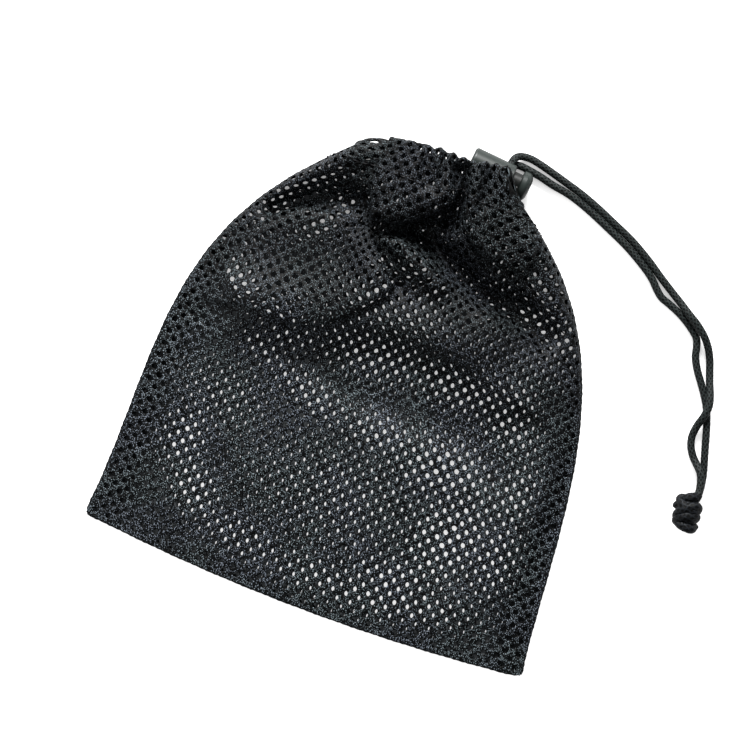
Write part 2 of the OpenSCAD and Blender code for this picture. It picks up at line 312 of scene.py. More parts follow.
def smooth_line(points, step):
    """An even line through the points, Catmull-Rom, with a point about every step mm."""
    p = np.array(points, dtype=float)
    p = np.vstack([2 * p[0] - p[1], p, 2 * p[-1] - p[-2]])
    fine = []
    for a, b, c, d in zip(p, p[1:], p[2:], p[3:]):
        for t in np.linspace(0, 1, 24, endpoint=False):
            square, cube = 2 * a - 5 * b + 4 * c - d, 3 * b - a - 3 * c + d
            fine.append(0.5 * (2 * b + (c - a) * t + square * t**2 + cube * t**3))
    fine = np.array(fine + [p[-2]])
    walked = walked_along(fine)
    places = np.linspace(0, walked[-1], max(2, int(round(walked[-1] / step)) + 1))
    return np.stack([np.interp(places, walked, fine[:, k]) for k in range(3)], axis=1)


def frames(line):
    """Heading and two sideways directions at each point, carried without twist."""
    along = np.gradient(line, axis=0)
    along /= np.linalg.norm(along, axis=1)[:, None]
    side = np.cross(along[0], [0.1, 0.2, 1.0])
    sides = []
    for a in along:
        side = side - a * (side @ a)
        side /= np.linalg.norm(side)
        sides.append(side)
    sides = np.array(sides)
    return along, sides, np.cross(along, sides)


def tube(line, radius, corners, taper=0.0):
    """Points, faces and flat places of a closed tube that narrows over taper mm at its ends.

    radius is a number or a function of (distance, angle).
    """
    _, side, up = frames(line)
    walked = walked_along(line)
    angle = 2 * math.pi * np.arange(corners) / corners + math.pi / 2
    s, a = np.meshgrid(walked, angle, indexing="ij")
    r = radius(s, a) if callable(radius) else np.full_like(s, radius)
    if taper:
        r = r * np.sqrt(np.clip(np.minimum(s, walked[-1] - s) / taper, 0.15, 1))
    outward = np.cos(a)[..., None] * side[:, None] + np.sin(a)[..., None] * up[:, None]
    rings = line[:, None] + r[..., None] * outward
    faces = []
    for first in range(0, (len(line) - 1) * corners, corners):
        for k in range(corners):
            n = (k + 1) % corners
            faces.append((first + k, first + n, first + corners + n, first + corners + k))
    faces.append(tuple(range(corners - 1, -1, -1)))
    faces.append(tuple((len(line) - 1) * corners + k for k in range(corners)))
    return rings.reshape(-1, 3), faces, np.stack([s, a], axis=-1).reshape(-1, 2)


def braid(r):
    """Radius of a round braid: two sets of yarns winding opposite ways."""
    def radius(s, a):
        left = np.abs(np.cos(BRAID_YARNS * a + BRAID_TWIST * s))
        right = np.abs(np.cos(BRAID_YARNS * a - BRAID_TWIST * s))
        return r - 0.16 + 0.22 * np.maximum(left, right)
    return radius


def joined(parts):
    """One list of points, faces and flat places from several."""
    points, faces, flat, first = [], [], [], 0
    for p, f, uv in parts:
        points.append(np.asarray(p))
        flat.append(uv)
        faces += [tuple(i + first for i in face) for face in f]
        first += len(p)
    return np.vstack(points), faces, np.vstack(flat)


def add_tubes(name, parts, look, body="bag"):
    points, faces, flat = joined(parts)
    return mesh(name, points, faces, look, body, flat)


def add_cord(name, points):
    """A braided cord through the points, and its middle line. It rides on no body yet."""
    line = smooth_line(points, CORD_STEP)
    return add_tubes(name, [tube(line, braid(CORD_R), 24)], CORD, None), line


# ---------------------------------------------------------------- camera, light and floor

# Camera: its place, how far the picture is turned on the bag, and the width it sees at that distance
CAMERA_PLACE = (-0.004, 0.0915, 0.9)
CAMERA_TURN = math.radians(20.69)
SEEN_WIDTH, SEEN_FROM = 0.3, 0.894
# What the lights are turned to
BAG_MIDDLE = Vector((0, 0.09, 0))
# Strength of the white sky and the white floor, as the camera sees them and as they light the bag
SKY_SEEN, SKY_FELT = 1.0, 0.24
FLOOR_SEEN, FLOOR_FELT = 0.9, 0.05
# Glow of the floor under the cloth, near the bottom seam and near the mouth, and the Y where each is reached:
# painted shadow of the bag, deeper towards the mouth
UNDER_SEAM, UNDER_MOUTH = 0.76, 0.25
SEAM_Y, MOUTH_Y = 0.04, 0.15
FLOOR_Z = -0.0004

scene = bpy.context.scene
camera = bpy.data.objects.new("camera", bpy.data.cameras.new("camera"))
scene.collection.objects.link(camera)
camera.location = CAMERA_PLACE
camera.rotation_euler = (0, 0, CAMERA_TURN)
camera.data.sensor_width = 36
camera.data.lens = camera.data.sensor_width * SEEN_FROM / SEEN_WIDTH
scene.camera = camera

scene.view_settings.view_transform = "Standard"
scene.view_settings.look = "None"

world = bpy.data.worlds.new("world")
scene.world = world
world.use_nodes = True
world.node_tree.nodes["Background"].inputs["Color"].default_value = (1, 1, 1, 1)


def brighter_to_camera(tree, socket, seen, felt):
    """Sets a strength that is higher for the camera than for the light it gives."""
    to_camera = node(tree, "ShaderNodeLightPath").outputs["Is Camera Ray"]
    tree.links.new(remap(tree, to_camera, 0, 1, felt, seen), socket)


background = world.node_tree.nodes["Background"]
brighter_to_camera(world.node_tree, background.inputs["Strength"], SKY_SEEN, SKY_FELT)


def softbox(name, place, size, power):
    """A rectangular light turned to the middle of the bag."""
    light = bpy.data.lights.new(name, "AREA")
    light.shape = "RECTANGLE"
    light.size, light.size_y = size
    light.energy = power
    o = bpy.data.objects.new(name, light)
    scene.collection.objects.link(o)
    o.location = place
    o.rotation_euler = (BAG_MIDDLE - Vector(place)).to_track_quat("-Z", "Y").to_euler()


softbox("key", (-0.25, 0.95, 0.55), (0.5, 0.3), 25)
softbox("fill", (-0.7, -0.1, 0.6), (0.4, 0.4), 2)

floor_look, floor_tree, floor_shader = material("white_floor", (0.8, 0.8, 0.8), 0.9, Specular_IOR_Level=0.0)
floor_shader.inputs["Emission Color"].default_value = (1, 1, 1, 1)
# Painted shadow: the floor's glow to the camera dims by ambient occlusion under and beside the bag
open_sky = node(floor_tree, "ShaderNodeAmbientOcclusion", Distance=0.02)
open_sky.samples = 8
_, floor_y, _ = parts_of(floor_tree, object_place(floor_tree))
under = remap(floor_tree, floor_y, SEAM_Y, MOUTH_Y, UNDER_SEAM, UNDER_MOUTH)
shade = remap(floor_tree, open_sky.outputs["AO"], 0, 0.7, under, FLOOR_SEEN)
brighter_to_camera(floor_tree, floor_shader.inputs["Emission Strength"], shade, FLOOR_FELT)
floor_data = bpy.data.meshes.new("floor")
corners = [(x, y, FLOOR_Z) for x, y in ((-2, -2), (2, -2), (2, 2), (-2, 2))]
floor_data.from_pydata(corners, [], [(0, 1, 2, 3)])
floor_data.materials.append(floor_look)
floor = bpy.data.objects.new("floor", floor_data)
scene.collection.objects.link(floor)


# ---------------------------------------------------------------- free cords

# Points along the cords, in mm
STRAND_A = [
    (17.2, 190.3, 5.6), (17.7, 192.3, 4.3), (19, 193.9, 2.9), (21.4, 194.7, 2), (24.6, 194.8, 1.6),
    (28.4, 194.1, 1.6), (34, 192.7, 1.6), (41, 190.8, 1.6), (48, 188.8, 1.6), (55.6, 186.1, 1.6),
    (65, 182.2, 1.6), (73.9, 178.3, 1.6), (82.6, 173.4, 1.6), (89.6, 168.8, 1.6), (96, 164.8, 1.6),
    (100.8, 161.8, 2.4), (105.2, 158.8, 3.8), (109.6, 156.1, 4.3), (114, 152.6, 4), (117.4, 148.8, 2.6),
    (119.8, 144.6, 1.6), (121.5, 140, 1.6), (123.1, 135.4, 2.5), (124.7, 131, 4.1), (125.6, 126.8, 4.8),
    (125.2, 122.6, 4.5), (124.2, 118.2, 2.8), (123.9, 113.6, 1.6), (124.9, 109.6, 1.6),
    (127, 106.2, 1.7), (129.2, 103.8, 2.6), (131.6, 101, 4.4), (133, 98, 4.9), (133.7, 94.8, 5.4),
    (134, 91.6, 6.2),
]
STRAND_B = [
    (17.1, 188.6, 2.9), (17.7, 189.7, 2.3), (18.9, 190.4, 1.9), (21.4, 190.7, 1.6), (25, 190.3, 1.6),
    (30, 189.5, 1.6), (36, 188.1, 1.6), (42.2, 187.1, 1.6), (48.1, 185.5, 1.6), (54.5, 183.2, 1.6),
    (63.9, 179.3, 1.6), (72.7, 175.4, 1.6), (81.1, 170.7, 1.6), (86.2, 167.2, 1.6), (89.9, 163.6, 1.6),
    (92.8, 161.3, 1.6), (96.3, 160, 1.6), (100.4, 158.4, 1.6), (104.4, 156.4, 1.6), (108.4, 153.8, 1.6),
    (111.6, 151, 1.6), (113, 147.6, 1.6), (114, 143.6, 1.6), (116.6, 139, 1.6), (119.4, 135.2, 1.6),
    (122.4, 131, 1.6), (125.2, 126.4, 1.6), (127.4, 121, 1.6), (129.2, 115.4, 1.6), (130.8, 110, 1.6),
    (132.4, 104.8, 1.6), (133.6, 100.6, 1.6), (134.2, 97.4, 1.6), (134.5, 94.4, 2.1), (134.4, 91.4, 3.3),
]
LEAD_A = [
    (11.5, 171.6, 13.2), (13, 172, 14.1), (14.6, 173.6, 14.4), (15.6, 175.6, 12.8),
    (16.1, 178, 10.2), (16.7, 184.2, 7.9), (17.2, 190.3, 5.6),
]
LEAD_B = [
    (18.8, 170.8, 13.2), (17.4, 171.2, 12.5), (16.3, 172.6, 10.9), (15.9, 174.6, 8.7),
    (16, 176.9, 7.2), (16.6, 183.1, 4.9), (17.1, 188.6, 2.9),
]

strand_a, line_a = add_cord("strand_a", STRAND_A)
strand_b, line_b = add_cord("strand_b", STRAND_B)
lead_a, _ = add_cord("lead_a", LEAD_A)
lead_b, _ = add_cord("lead_b", LEAD_B)
# The leads stretch from the bag to the lock; the leads' and strands' places are baked into their meshes
for lead in (lead_a, lead_b):
    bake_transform(lead)
for strand in (strand_a, strand_b):
    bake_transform(strand)


# The knot: an overhand knot in both cords, pulled tight, with the two cut tails
KNOT = np.array([132.4, 84.2, 5.2])
KNOT_ALONG = np.array([-0.18, 0.984, 0.0])
KNOT_ACROSS = np.array([0.984, 0.18, 0.0])
KNOT_UP = np.array([0.0, 0.0, 1.0])
KNOT_FLATNESS = 0.82
# Turns of cord in the knot: (offset along it, radius, start angle in degrees, lean)
KNOT_TURNS = [
    (5.3, 2.4, 200, 1.2), (3.0, 3.6, 20, -2.2), (0.2, 3.9, 150, 2.7), (-2.6, 3.7, 280, 1.6),
    (-5.0, 3.0, 90, -1.2),
]


def in_knot(along, across, up):
    return KNOT + along * KNOT_ALONG + across * KNOT_ACROSS + up * KNOT_UP


def knot_turn(offset, radius, start, lean, turns=1.1, steps=36):
    """A cord wound round the knot's axis, leaning over as it goes."""
    out = []
    for t in np.linspace(0, 1, steps):
        angle = math.radians(start + 360 * turns * t)
        along = offset + lean * math.sin(angle + 0.7)
        out.append(in_knot(along, radius * math.cos(angle), KNOT_FLATNESS * radius * math.sin(angle)))
    return out


def knot_core(s, a):
    """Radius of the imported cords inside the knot."""
    return 4.9 * np.sqrt(np.clip(1 - ((s - 6.4) / 6.5) ** 2, 0.05, 1)) * (1 - 0.12 * np.sin(a) ** 2)


core = smooth_line([in_knot(k, 0, 0) for k in (6.4, 2, -2, -6.4)], 0.5)
knot_parts = [tube(core, knot_core, 24)]
for turn in KNOT_TURNS:
    knot_parts.append(tube(smooth_line(knot_turn(*turn), 0.45), braid(1.9), 20, taper=1.0))
for height in (1.2, -1.7):
    through = [(134.1, 92.6, 5 + height), (133.6, 89.8, 5 + height), (132.8, 87, 5 + 0.6 * height)]
    knot_parts.append(tube(smooth_line(through, 0.45), braid(1.6), 20))
knot = add_tubes("knot", knot_parts, SHADED_CORD)
TAILS = [
    [(131, 84.6, 5.4), (128.4, 85.3, 4.6), (126.2, 85.8, 3.6)],
    [(133.6, 81.4, 5.4), (136.2, 80.2, 4.6), (138.4, 79.2, 3.6)],
]
tail_parts = [tube(smooth_line(line, CORD_STEP), braid(CORD_R), 20, taper=0.5) for line in TAILS]
tails = add_tubes("tails", tail_parts, SHADED_CORD)

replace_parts(strand_a, "cord_strand_a")
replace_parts(strand_b, "cord_strand_b")
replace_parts(lead_a, "drawcord_leads")
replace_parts(lead_b, "drawcord_leads")
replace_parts(knot, "cord_knot")
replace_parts(tails, "cord_tails")


# ---------------------------------------------------------------- shape of the cloth

# Flat cloth in mm: width, height up to the fold at the mouth, and hem that turns in there
WIDTH, TALL, HEM = 186.4, 205.0, 16.0
# The bag's sides as Bezier curves, from the bottom seam to the mouth, in mm
LEFT = [(-93.2, -1), (-86, 63), (-107, 119), (-44, 174)]
RIGHT = [(93.2, -1), (85, 57), (93, 134), (28, 174)]
# How far the bottom seam bows out, the whole mouth swells out, and each panel's edge reaches past that
BOW, SWELL = 5.4, 4.0
FRONT_REACH, BACK_REACH = 4.7, 3.0
# How much less far the back panel's edge reaches where the cord lock lies on it
LOCK_ROOM = 4.4
# Height of the front cloth's edge, and how high its middle domes over that at the bottom and on to the mouth
EDGE_Z, LOW_LOFT, MOUTH_LOFT = 1.1, 1.2, 13.2
# Gathers at the mouth: their number and height
PLEATS, PLEAT_HEIGHT = 14.5, 0.5
# Radii of the hems' folds, and how far the turned cloth then lies from the panel
FOLD_FRONT, FOLD_BACK = 1.3, 1.4
TURNED_FRONT, TURNED_BACK = -2.6, 4.6
# Flat places across the mouth between which cloth is folded in under the front
FOLDED_IN = (-38, 52)
# Width of cloth on each side that the gathers hide at the mouth, and the height where that begins
HIDDEN, HIDDEN_FROM = 29, 95
# Least height of the front cloth's middle, over the back cloth
LOWEST = 1.25


def bezier_side(control, v):
    """Points of a side of the bag at shares v of its length."""
    t = np.linspace(0, 1, 240)
    c = np.array(control, dtype=float)
    curve = np.stack([(1 - t) ** 3, 3 * (1 - t) ** 2 * t, 3 * (1 - t) * t**2, t**3], axis=1) @ c
    walked = walked_along(curve)
    places = v * walked[-1]
    return np.interp(places, walked, curve[:, 0]), np.interp(places, walked, curve[:, 1])


def soft(t):
    """A smooth step from 0 to 1."""
    t = np.clip(t, 0, 1)
    return t * t * (3 - 2 * t)


def ridge(x, y, points, height, left, right):
    """A fold along a line: gaussian, with its own width on each side of the line."""
    best = np.full(x.shape, 1e9)
    side = np.zeros(x.shape)
    for (ax, ay), (bx, by) in zip(points, points[1:]):
        dx, dy = bx - ax, by - ay
        t = np.clip(((x - ax) * dx + (y - ay) * dy) / (dx * dx + dy * dy), 0, 1)
        d = np.hypot(x - ax - t * dx, y - ay - t * dy)
        turn = dx * (y - ay) - dy * (x - ax)
        closer = d < best
        best = np.where(closer, d, best)
        side = np.where(closer, turn, side)
    width = np.where(side > 0, left, right)
    return height * np.exp(-((best / width) ** 2))


def blob(x, y, cx, cy, rx, ry, turn):
    """1 at the centre, falling off over half sizes rx and ry, turned by so many degrees."""
    c, s = math.cos(math.radians(turn)), math.sin(math.radians(turn))
    dx, dy = x - cx, y - cy
    return np.exp(-(((dx * c + dy * s) / rx) ** 2 + ((dy * c - dx * s) / ry) ** 2))


# Soft folds as (line, height, width on the left of the line, width on its right)
FOLDS = [
    ([(-74, 136), (-62, 153), (-50, 165), (-38, 173)], 3.5, 5, 5),
    ([(-66, 141), (-54, 149), (-44, 153), (-33, 154)], -9.0, 5, 5),
    ([(-70, 104), (-45, 112), (-28, 120), (-20, 130)], 2.5, 14, 9),
    ([(-58, 99), (-34, 102.5), (-12, 111.5), (6, 113), (26, 111), (48, 103)], 7.5, 14, 8),
    ([(-66, 84), (-46, 80), (-12, 71), (15, 69), (40, 69), (60, 58)], 3.4, 8, 20),
    ([(-6, 152), (3, 147), (12, 143), (25, 138), (37, 136), (54, 131)], -9.0, 5.5, 5.5),
    ([(-12, 134), (4, 138), (16, 130), (32, 120)], 2.5, 8, 9),
    ([(40, 166), (50, 154), (58, 140)], 2.5, 5, 8),
    ([(-17, 183), (-14, 176), (-11, 169)], -2.5, 3, 3),
    ([(-7, 188), (-6, 178), (-7, 170)], -1.5, 3, 3),
    ([(-1, 179), (0.5, 174), (3, 167), (3, 158)], -6.0, 3, 3.2),
    ([(5.5, 188), (7, 175), (8, 166)], 1.2, 2.4, 2.4),
    ([(10, 190), (11, 177), (12, 168)], -1.4, 2.4, 2.4),
    ([(22, 184), (24, 174), (33, 166)], -1.5, 3, 3),
    ([(-82, 98), (-70, 90), (-52, 92)], 1.6, 7, 7),
    ([(62, 16), (72, 52), (74, 92)], 2.6, 12, 9),
    ([(-80, 60), (-76, 30), (-60, 10)], 2.0, 7, 10),
    ([(-40, 52), (-8, 46), (22, 44)], 1.0, 12, 12),
    ([(30, 128), (48, 118), (70, 112)], 1.4, 5, 6),
    ([(-30, 145), (-17, 148.5), (-6, 153), (0, 159)], -6.0, 3.5, 3.5),
    ([(-26, 146), (-14, 142.5), (-2, 138), (6, 133)], 5.0, 4.5, 3.5),
    ([(-24, 141), (-17, 134), (-8, 128)], -3.0, 4, 4),
]

# Cloth that stands over its surroundings: (outline, height, softness of its rim, overhang)
PILLOWS = [
    ([(-32, 172), (-31.5, 160), (-28, 149.5), (-22, 149), (-10, 154.5), (-3, 162), (2, 170), (1, 198),
      (-30, 198)], 9.0, 7.0, 3.5),
    ([(4.5, 198), (3.5, 172), (7, 160), (13, 153.5), (24, 150), (36, 149), (40, 158), (33, 167), (26, 173),
      (24, 178), (21, 198)], 4.0, 7.0, 2.0),
    ([(-25, 146), (-21, 138), (-14, 131), (-9, 129), (-11, 123), (-19, 113), (-31, 101.5), (-47, 98),
      (-66, 98), (-77, 110), (-64, 142), (-42, 146)], 4.5, 8.0, 3.0),
]


def rounded(outline, rounds=3):
    """A closed outline with its corners cut, over and over."""
    outline = np.array(outline, dtype=float)
    for _ in range(rounds):
        ahead = np.roll(outline, -1, axis=0)
        cut = [0.75 * outline + 0.25 * ahead, 0.25 * outline + 0.75 * ahead]
        outline = np.stack(cut, axis=1).reshape(-1, 2)
    return outline.tolist()


def inside(x, y, outline):
    """Distance in mm from a point to an outline, positive inside it, and the direction out of it."""
    best = np.full(x.shape, 1e9)
    away = np.zeros(x.shape + (2,))
    within = np.zeros(x.shape, dtype=bool)
    for (ax, ay), (bx, by) in zip(outline, outline[1:] + outline[:1]):
        dx, dy = bx - ax, by - ay
        t = np.clip(((x - ax) * dx + (y - ay) * dy) / (dx * dx + dy * dy), 0, 1)
        ox, oy = x - ax - t * dx, y - ay - t * dy
        d = np.hypot(ox, oy)
        closer = d < best
        best = np.where(closer, d, best)
        away[closer] = np.stack([ox, oy], axis=-1)[closer] / np.maximum(d, 1e-6)[closer][:, None]
        crosses = (ay > y) != (by > y)
        with np.errstate(divide="ignore", invalid="ignore"):
            hit = x < (bx - ax) * (y - ay) / (by - ay if by != ay else 1e-9) + ax
        within ^= crosses & hit
    sign = np.where(within, 1.0, -1.0)
    return best * sign, -away * sign[..., None]


def half_width(b):
    """Half the width of the cloth that shows, at height b: the gathers hide the rest towards the mouth."""
    return WIDTH / 2 - HIDDEN * soft((b - HIDDEN_FROM) / (TALL - HIDDEN_FROM))


def shares(a, b):
    """Flat place as shares across and along the bag."""
    return np.clip(0.5 + 0.5 * a / half_width(b), 0, 1), np.clip(b / TALL, 0, 1)


def outline_place(u, v):
    """Where the place at shares u, v lies in the bag's outline, before any fold."""
    lx, ly = bezier_side(LEFT, v)
    rx, ry = bezier_side(RIGHT, v)
    middle = 4 * u * (1 - u)
    swell = SWELL * middle**0.7 * v**4 - BOW * middle * (1 - v) ** 4
    return (1 - u) * lx + u * rx, (1 - u) * ly + u * ry + swell


def front_surface(u, v):
    """The front cloth up to the fold of its hem, at shares u, v."""
    x, y = outline_place(u, v)
    middle = 4 * u * (1 - u)
    y = y + FRONT_REACH * middle**0.7 * v**12
    edge = soft(np.minimum(u, 1 - u) / 0.06)
    near_mouth = np.clip((v - 0.8) / 0.2, 0, 1)
    loft = LOW_LOFT + MOUTH_LOFT * soft((v - 0.25) / 0.75) ** 1.2
    z = EDGE_Z + np.power(middle, 0.7 * (1 - 0.8 * v) + 1e-6) * loft
    wrinkle = 0.5 * np.sin(0.11 * x + 0.05 * y) * np.sin(0.07 * y - 0.04 * x + 1)
    for points, height, left, right in FOLDS:
        wrinkle = wrinkle + ridge(x, y, points, height, left, right)
    lift = np.zeros_like(x)
    shift = np.zeros(x.shape + (2,))
    for outline, height, rim, overhang in PILLOWS:
        depth, outward = inside(x, y, rounded(outline))
        p = soft(depth / rim + 0.5)
        lift += height * p
        shift += outward * (overhang * (p - 0.5) * 8 * p * (1 - p))[..., None]
    # Gathers, deepest between the left of the mouth and the cord lock
    gathered = soft((u - 0.28) / 0.15) * (1 - soft((u - 0.82) / 0.1)) * near_mouth**1.5
    turns = PLEATS * u + 0.3 * np.sin(9 * u) + 0.15 * np.sin(5 * v)
    pleat = PLEAT_HEIGHT * gathered * np.sin(2 * math.pi * turns)
    folds = wrinkle * np.clip(v / 0.1, 0, 1) + lift * (1 - 0.35 * near_mouth)
    z = z + edge * folds + pleat
    # The mouth lies over the cord lock
    over_lock = soft((x + 1) / 4) * (1 - soft((x - 17) / 4.5)) * near_mouth**2
    x = x + edge * shift[..., 0]
    y = y + edge * shift[..., 1] + pleat + 0.4 * np.clip(x - 1, 0, 17) * over_lock
    z = z + 1.2 * over_lock
    z = np.where(z < LOWEST + 1, LOWEST + np.exp(z - LOWEST - 1), z)
    return np.stack([x, y, z], axis=-1)


def lookup(table, u, v):
    """Value of a table over the unit square, between its entries."""
    n_u, n_v = table.shape[0] - 1, table.shape[1] - 1
    i = np.clip((u * n_u).astype(int), 0, n_u - 1)
    j = np.clip((v * n_v).astype(int), 0, n_v - 1)
    s, t = (u * n_u - i)[..., None], (v * n_v - j)[..., None]
    low = (1 - s) * table[i, j] + s * table[i + 1, j]
    high = (1 - s) * table[i, j + 1] + s * table[i + 1, j + 1]
    return (1 - t) * low + t * high


def settled_cloth(across=81, along=88, first_free=0.52, rounds=700):
    """Shares u, v over a grid of flat places, after the cloth has slid along its folds until it pulls evenly.

    The folds rise during the first rounds, so that the cloth is drawn up their sides. Cloth below the share
    first_free stays where it is.
    """
    fine = np.linspace(0, 1, 301)
    folded = front_surface(*np.meshgrid(fine, fine, indexing="ij"))
    lying = folded.copy()
    lying[..., :2] = np.stack(outline_place(*np.meshgrid(fine, fine, indexing="ij")), axis=-1)
    lying[..., 2] = 1.0
    u, v = np.meshgrid(np.linspace(0, 1, across), np.linspace(0, 1, along), indexing="ij")
    free = (v > first_free).astype(float)
    free[[0, -1]] = 0
    most = 0.3 / along
    for k in range(rounds):
        if k % 20 == 0:
            risen = min(1, k / (0.7 * rounds))
            surface = (1 - risen) * lying + risen * folded
            slope_u, slope_v = np.gradient(surface, fine, fine, axis=(0, 1))
        p = lookup(surface, u, v)
        pull = np.zeros_like(p)
        around = p[2:, 1:-1] + p[:-2, 1:-1] + p[1:-1, 2:] + p[1:-1, :-2]
        pull[1:-1, 1:-1] = around / 4 - p[1:-1, 1:-1]
        pull[1:-1, -1] = (p[2:, -1] + p[:-2, -1]) / 2 - p[1:-1, -1]
        su, sv = lookup(slope_u, u, v), lookup(slope_v, u, v)
        uu, vv, uv = (su * su).sum(-1), (sv * sv).sum(-1), (su * sv).sum(-1)
        fu, fv = (pull * su).sum(-1), (pull * sv).sum(-1)
        whole = uu * vv - uv * uv + 1e-3 * uu * vv + 1e-9
        u = np.clip(u + free * np.clip(0.8 * (vv * fu - uv * fv) / whole, -most, most), 0, 1)
        step = free * np.clip(0.8 * (uu * fv - uv * fu) / whole, -most, most)
        step[:, -1] = 0
        v = np.clip(v + step, 0, 1)
    return np.stack([u, v], axis=-1)


SETTLED = settled_cloth()


def front_place(a, b):
    """The front cloth up to the fold of its hem."""
    at = lookup(SETTLED, *shares(a, b))
    return front_surface(at[..., 0], at[..., 1])


def back_place(a, b):
    """The back cloth up to the fold of its hem."""
    u, v = shares(a, b)
    x, y = outline_place(u, v)
    under_lock = soft((x + 6) / 6) * (1 - soft((x - 26) / 5))
    y = y + (BACK_REACH - LOCK_ROOM * under_lock) * (4 * u * (1 - u)) ** 0.7 * v**12
    pleat = np.sin(2 * math.pi * 13 * u) * np.clip((v - 0.9) / 0.1, 0, 1)
    return np.stack([x, y, 0.45 + 0.2 * (1 + pleat) * soft(np.minimum(u, 1 - u) / 0.06)], axis=-1)


def hem(place, a, b, fold, rise):
    """A hem that turns over at TALL and lies back along its cloth, rise mm over it (under it if negative)."""
    past = np.maximum(b - TALL, 0)
    around = np.clip(past / fold, 0, math.pi)
    back = np.maximum(past - math.pi * fold, 0)
    p = place(a, np.minimum(b, TALL) - back)
    side = np.sign(rise)
    p[..., 1] += fold * np.sin(around)
    p[..., 2] += side * (fold * (1 - np.cos(around)) + (abs(rise) - 2 * fold) * soft(back / 6))
    return p


# Height under the drawcord along the front of the mouth, by x
UNDER_CORD = ([-48, -46.6, -42.6, -35, -25], [4.4, 5.8, 7.8, 9.6, 10.9])


def shape(a, b, layer):
    """Where flat cloth point (a across, b up from the bottom seam) lies, in mm.

    layer is 1 for the front, 0.5 for cloth folded in at the mouth and 0 for the back.
    """
    if layer == 0:
        return hem(back_place, a, b, FOLD_BACK, TURNED_BACK)
    p = hem(front_place, a, b, FOLD_FRONT, TURNED_FRONT)
    back = np.maximum(b - TALL - math.pi * FOLD_FRONT, 0)
    drop = soft(back / (3.5 + 5.5 * np.exp(-(((p[..., 0] - 11) / 11) ** 4))))
    p[..., 2] += (np.minimum(np.interp(p[..., 0], *UNDER_CORD), p[..., 2]) - p[..., 2]) * drop
    p[..., 2] = np.maximum(p[..., 2], LOWEST)
    if layer == 0.5:
        u, _ = shares(a, b)
        by_lock = 1 - 0.5 * np.exp(-(((p[..., 0] - 18) / 9) ** 4))
        sag = 2.4 + 1.2 * np.sin(2 * math.pi * 7 * u + 0.06 * b)
        p[..., 2] -= by_lock * soft(np.minimum(u, 1 - u) / 0.08) * sag
        p[..., 2] = np.maximum(p[..., 2], 1.6)
    return p


# Where the front layer's holes lie over the back layer's, so that white shows through both:
# (centre, half sizes, turn in degrees, share of the way from fully offset to fully in line)
IN_LINE = [
    # bottom seam to the middle of the bag
    (-34, 12, 22, 8, -8, 0.75), (4, 8, 26, 8, 0, 0.78), (30, 9, 34, 8, 8, 0.85), (30, 18, 20, 9, 10, 0.85),
    (-58, 24, 14, 9, -45, 0.9), (66, 38, 10, 16, 0, 0.72), (44, 40, 14, 22, -15, 0.95),
    (-69, 42, 9, 13, 0, 0.95), (0, 42, 50, 26, 0, 0.64), (-60, 64, 22, 16, 0, 0.74), (64, 66, 8, 14, 0, 0.75),
    (32, 66, 20, 12, 0, 0.97), (4, 70, 20, 8, 0, 0.85), (-28, 76, 20, 7, -18, 0.92),
    (-52, 86, 14, 7, -20, 0.85), (52, 90, 12, 8, -20, 0.85), (-44, 95, 14, 6, 0, 0.85),
    (-8, 98, 22, 9, 4, 0.93), (26, 98, 22, 8, -4, 0.9),
    # the puffs
    (-45, 109, 8, 5, 0, 0.8), (-2, 115, 18, 8, 0, 0.75), (-67, 119, 9, 9, 0, 0.6),
    # the valleys beside the mouth
    (44, 136, 9, 2.6, -10, 1.0), (28, 139.5, 11, 2.6, -12, 1.0), (10, 145, 9, 2.6, -22, 1.0),
    # the rims beside the mouth
    (-68, 147, 12, 3.5, 52, 1.0), (52, 152, 12, 4, -52, 0.9), (-52, 166, 20, 8, 42, 1.0),
    (37, 166, 14, 5, -42, 1.0),
]
# Distance between neighbouring rows of holes, and between neighbouring columns
PITCH = 2.8


def drifted(a, b):
    """Flat place on the front layer, moved sideways against the back layer's holes."""
    x, y = outline_place(*shares(a, b))
    share = np.zeros_like(x)
    for cx, cy, rx, ry, turned, most in IN_LINE:
        share = np.maximum(share, most * blob(x, y, cx, cy, rx * 1.3, ry * 1.3, turned) ** 0.8)
    share *= 1 - 0.12 * (1 + np.sin(0.5 * x + 0.23 * y) * np.sin(0.41 * y - 0.17 * x))
    hold = np.clip((half_width(b) - np.abs(a)) / 5, 0, 1)
    return a + PITCH * share * hold, b


# ---------------------------------------------------------------- perforated cloth

HOLE_R = 1.1
# Height of the cloth's surface over its middle, in mm: at the holes' rims, on the crests round them, between
RIM_LIFT, CREST_LIFT, CLOTH_LIFT = 0.13, 0.24, 0.22
CORNERS = 12
ANGLES = np.arange(CORNERS) * 2 * math.pi / CORNERS
RIM = np.stack([np.cos(ANGLES), np.sin(ANGLES)], axis=1)
BORDER = RIM * (PITCH / np.abs(RIM).sum(axis=1))[:, None]
SIDE_CELLS = int(WIDTH / 2 / PITCH)
ROWS = int((TALL + HEM) / PITCH)
# Last row of the main pieces of cloth: the ruffles at the mouth are pieces of their own
SPLIT = 62
# Where the cords leave the casing, in mm, with a gap of this radius in the hem
EXIT, GAP_R = (16.0, 176.5), 3.4


def place_cloth(flat, layer, lift):
    """Points of the cloth at flat places, lifted off the middle of the cloth along its normal."""
    def at(p):
        a, b = (drifted(p[:, 0], p[:, 1]) if layer else (p[:, 0], p[:, 1]))
        return shape(a, b, layer)
    here = at(flat)
    step = 0.4
    across = at(flat + [step, 0]) - at(flat - [step, 0])
    along = at(flat + [0, step]) - at(flat - [0, step])
    normal = np.cross(across, along)
    length = np.linalg.norm(normal, axis=1)
    normal = np.where(length[:, None] > 1e-6, normal / np.maximum(length, 1e-6)[:, None], [0, 0, 1])
    return here + normal * np.asarray(lift)[:, None]


